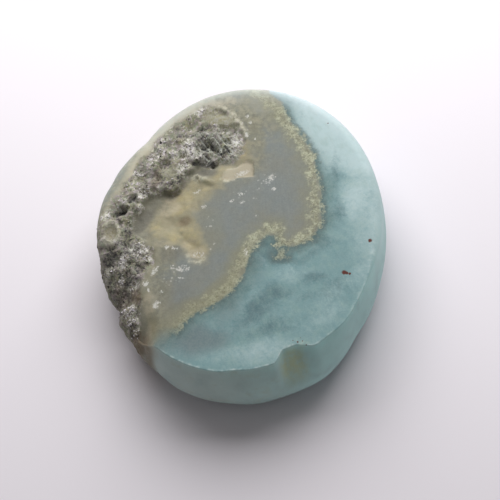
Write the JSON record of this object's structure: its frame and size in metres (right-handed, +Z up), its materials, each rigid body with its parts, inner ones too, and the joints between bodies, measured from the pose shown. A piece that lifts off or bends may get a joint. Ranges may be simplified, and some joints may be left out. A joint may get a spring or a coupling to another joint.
{
  "type": "larimar cabochon",
  "caption": "Oval blue-green larimar stone, ground flat on top with a rounded underside, keeping a crust of dark host rock along one side.",
  "frame": {"origin": "on the floor under the middle of the stone's box, at the flat that it rests on", "axes": "+X across the stone away from its crust, +Y along its length, +Z up through its thickness"},
  "size_m": [0.0322, 0.038, 0.0092],
  "materials": {
    "larimar": "satin polish, blue-green with a grey zone and a rough grey-brown crust"
  },
  "bodies": {
    "root": {"larimar_cabochon": "larimar"}
  },
  "joints": []
}
